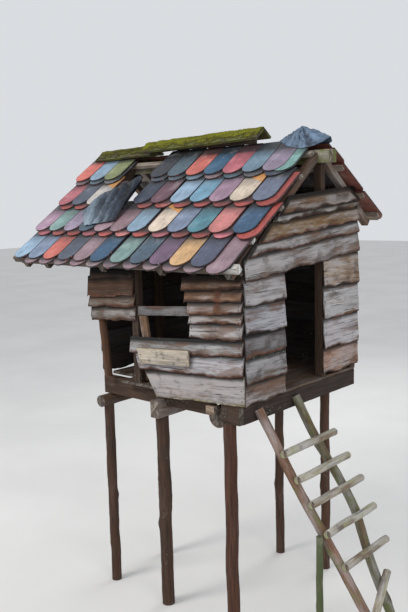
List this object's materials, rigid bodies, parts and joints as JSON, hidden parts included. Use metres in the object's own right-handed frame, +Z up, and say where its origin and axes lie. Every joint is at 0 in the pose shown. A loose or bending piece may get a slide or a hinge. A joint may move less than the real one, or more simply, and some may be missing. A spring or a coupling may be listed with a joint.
{
  "type": "tree house",
  "caption": "Small wooden tree house on log posts with lapped slab-board walls, a steep roof of round-tailed clay tiles in mixed colours, an open doorway and a ladder of branches.",
  "frame": {"origin": "centre of the front right post's foot, on the ground", "axes": "+X along the front wall to the right, towards the ladder; +Y to the rear wall; +Z up"},
  "size_m": [3.1802, 1.8394, 3.3647],
  "materials": {
    "log_wood": "old round wood, part bark, matt",
    "squared_timber": "rough sawn timber, weathered grey",
    "weathered_boards": "waney slab boards, grey and split, bark on the edges",
    "new_board": "fresh sawn softwood with nail heads",
    "floor_timber": "rough sawn floor boards",
    "roof_timber": "rough sawn rafters and battens",
    "ridge_timber": "weathered boards grown over with moss",
    "clay_tile": "engobed clay tiles in mixed colours, dusty",
    "rubber_sheet": "creased black sheet, dusty",
    "ridge_sheet": "worn blue-grey sheet",
    "branch_wood": "branches with some bark and algae",
    "rung_wood": "pale split wood with lichen"
  },
  "bodies": {
    "root": {"front_right_post": "log_wood", "front_left_post": "log_wood", "back_posts": "log_wood", "end_posts": "log_wood", "log_bearers": "log_wood", "squared_bearer": "squared_timber", "floor_joists": "squared_timber", "side_rim": "squared_timber", "floor_boards": "floor_timber", "corner_posts": "squared_timber", "leaning_corner_post": "log_wood", "door_posts": "squared_timber", "window_posts": "squared_timber", "wall_plates": "squared_timber", "window_rail": "weathered_boards", "window_stud": "weathered_boards", "front_boards_left": "weathered_boards", "front_boards_right": "weathered_boards", "front_boards_lower": "weathered_boards", "patch_board": "new_board", "right_boards_near": "weathered_boards", "right_boards_far": "weathered_boards", "right_gable_boards": "weathered_boards", "left_wall_boards": "weathered_boards", "rear_wall_boards": "weathered_boards", "ridge_beam": "ridge_timber", "front_rafters": "roof_timber", "rear_rafters": "roof_timber", "front_battens": "roof_timber", "rear_battens": "roof_timber", "front_tile_course_1": "clay_tile", "front_tile_course_2": "clay_tile", "front_tile_course_3": "clay_tile", "front_tile_course_4": "clay_tile", "rear_tile_course_1": "clay_tile", "rear_tile_course_2": "clay_tile", "rear_tile_course_3": "clay_tile", "ridge_caps": "ridge_timber", "ridge_lath": "squared_timber", "ridge_sheet": "ridge_sheet", "roof_flashing": "rubber_sheet", "ladder_stringers": "branch_wood", "ladder_rungs": "rung_wood", "loose_rung": "rung_wood", "ladder_prop": "branch_wood"}
  },
  "joints": []
}
